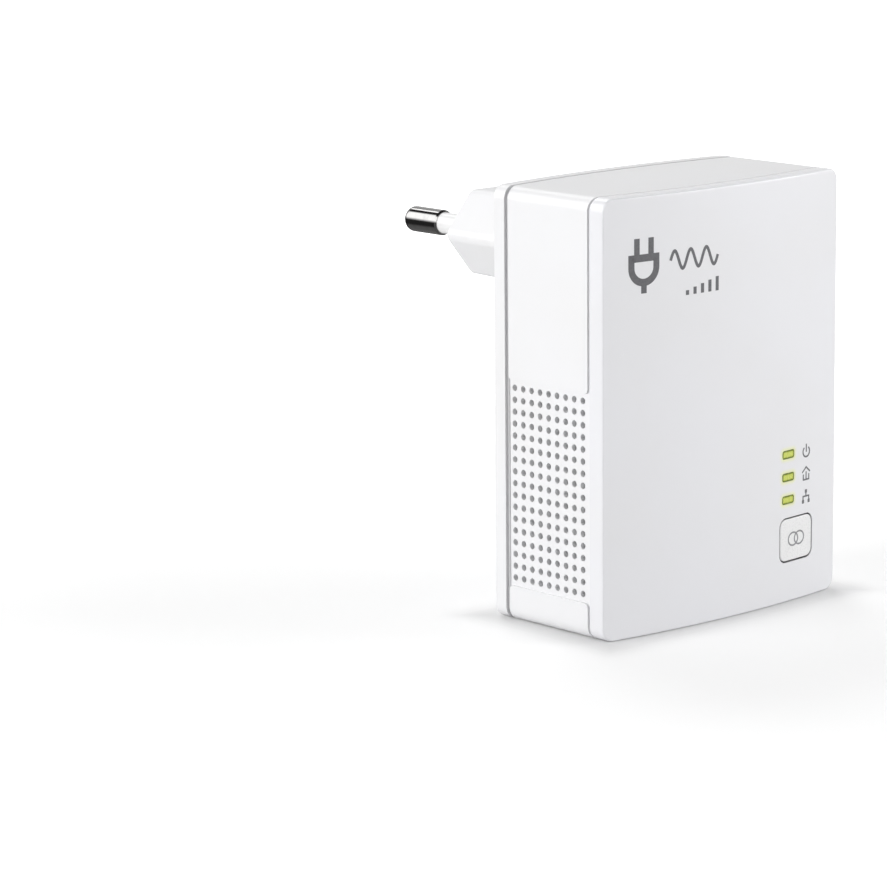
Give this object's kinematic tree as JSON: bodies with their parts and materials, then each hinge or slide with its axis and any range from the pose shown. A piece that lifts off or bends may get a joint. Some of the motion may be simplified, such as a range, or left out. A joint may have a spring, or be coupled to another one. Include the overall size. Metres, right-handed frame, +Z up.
{
  "type": "powerline adapter",
  "caption": "Compact white plug-in powerline network adapter with a two-pin mains plug, vented sides, network socket below, status lamps and a pair button.",
  "frame": {"origin": "middle of the underside of the whole adapter, plug pins included", "axes": "+X across the front face to the right as seen from the front, +Y from the front face to the plug pins, +Z up"},
  "size_m": [0.05, 0.0608, 0.0656],
  "materials": {
    "gloss_white": "gloss",
    "satin_white": "satin",
    "rear_white": "satin",
    "label": "matt",
    "button_white": "gloss",
    "guide_green": "clear",
    "jack_grey": "satin",
    "contact_gold": "plated",
    "pin_metal": "polished",
    "sleeve_white": "satin",
    "terminal_brass": "bright",
    "board_green": "solder mask",
    "board_tan": "bare laminate",
    "screw_steel": "plated",
    "header_black": "matt",
    "header_tin": "tinned",
    "chip_black": "matt",
    "heatsink_aluminium": "anodised",
    "network_chip_black": "matt",
    "memory_chip_black": "matt",
    "flash_chip_black": "matt",
    "crystal_can": "satin",
    "magnetics_black": "matt",
    "lamp_resin": "clear",
    "ceramic_tan": "matt",
    "switch_body_black": "matt",
    "switch_plunger": "matt",
    "ferrite": "ground",
    "winding_tape": "tape",
    "capacitor_sleeve": "sleeve",
    "output_capacitor_sleeve": "sleeve",
    "fuse_glass": "clear",
    "fuse_caps": "plated",
    "film_capacitor": "satin",
    "varistor_epoxy": "epoxy",
    "disc_capacitor": "epoxy",
    "rectifier_black": "matt",
    "controller_black": "matt",
    "optocoupler_white": "matt",
    "inductor_ferrite": "matt",
    "coupling_ferrite": "matt"
  },
  "bodies": {
    "case": {"board_screws": "screw_steel", "bridge_rectifier": "rectifier_black", "bulk_capacitors": "capacitor_sleeve", "chip_capacitors": "ceramic_tan", "chip_heatsink": "heatsink_aluminium", "coupling_transformer": "coupling_ferrite", "crystal": "crystal_can", "ethernet_chip": "network_chip_black", "ethernet_magnetics": "magnetics_black", "flash_chip": "flash_chip_black", "front_cover": "gloss_white", "fuse_caps": "fuse_caps", "fuse_tube": "fuse_glass", "header_block": "header_black", "header_pins": "header_tin", "jack_contacts": "contact_gold", "jack_housing": "jack_grey", "light_guide": "guide_green", "main_board": "board_green", "memory_chip": "memory_chip_black", "middle_casing": "satin_white", "optocoupler": "optocoupler_white", "output_capacitor": "output_capacitor_sleeve", "output_inductor": "inductor_ferrite", "pair_switch_body": "switch_body_black", "pin_sleeve_left": "sleeve_white", "pin_sleeve_right": "sleeve_white", "pin_terminal_left": "terminal_brass", "pin_terminal_right": "terminal_brass", "plug_pin_left": "pin_metal", "plug_pin_right": "pin_metal", "power_board": "board_tan", "powerline_chip": "chip_black", "rating_label": "label", "rear_cover": "rear_white", "status_lamps": "lamp_resin", "supply_controller": "controller_black", "supply_transformer_core": "ferrite", "supply_transformer_winding": "winding_tape", "varistor": "varistor_epoxy", "x_capacitor": "film_capacitor", "y_capacitor": "disc_capacitor"},
    "key": {"pair_button": "button_white"},
    "plunger": {"pair_switch_plunger": "switch_plunger"}
  },
  "joints": [
    {"name": "key_press", "type": "slide", "parent": "case", "child": "key", "axis": [0, 1, 0], "range_m": [0, 0.00025], "stiffness_N_per_m": 1500},
    {"name": "plunger_press", "type": "slide", "parent": "case", "child": "plunger", "axis": [0, 1, 0], "range_m": [0, 0.00025]}
  ],
  "couplings": [
    {"joint": "plunger_press", "follows": "key_press", "ratio": 1}
  ]
}
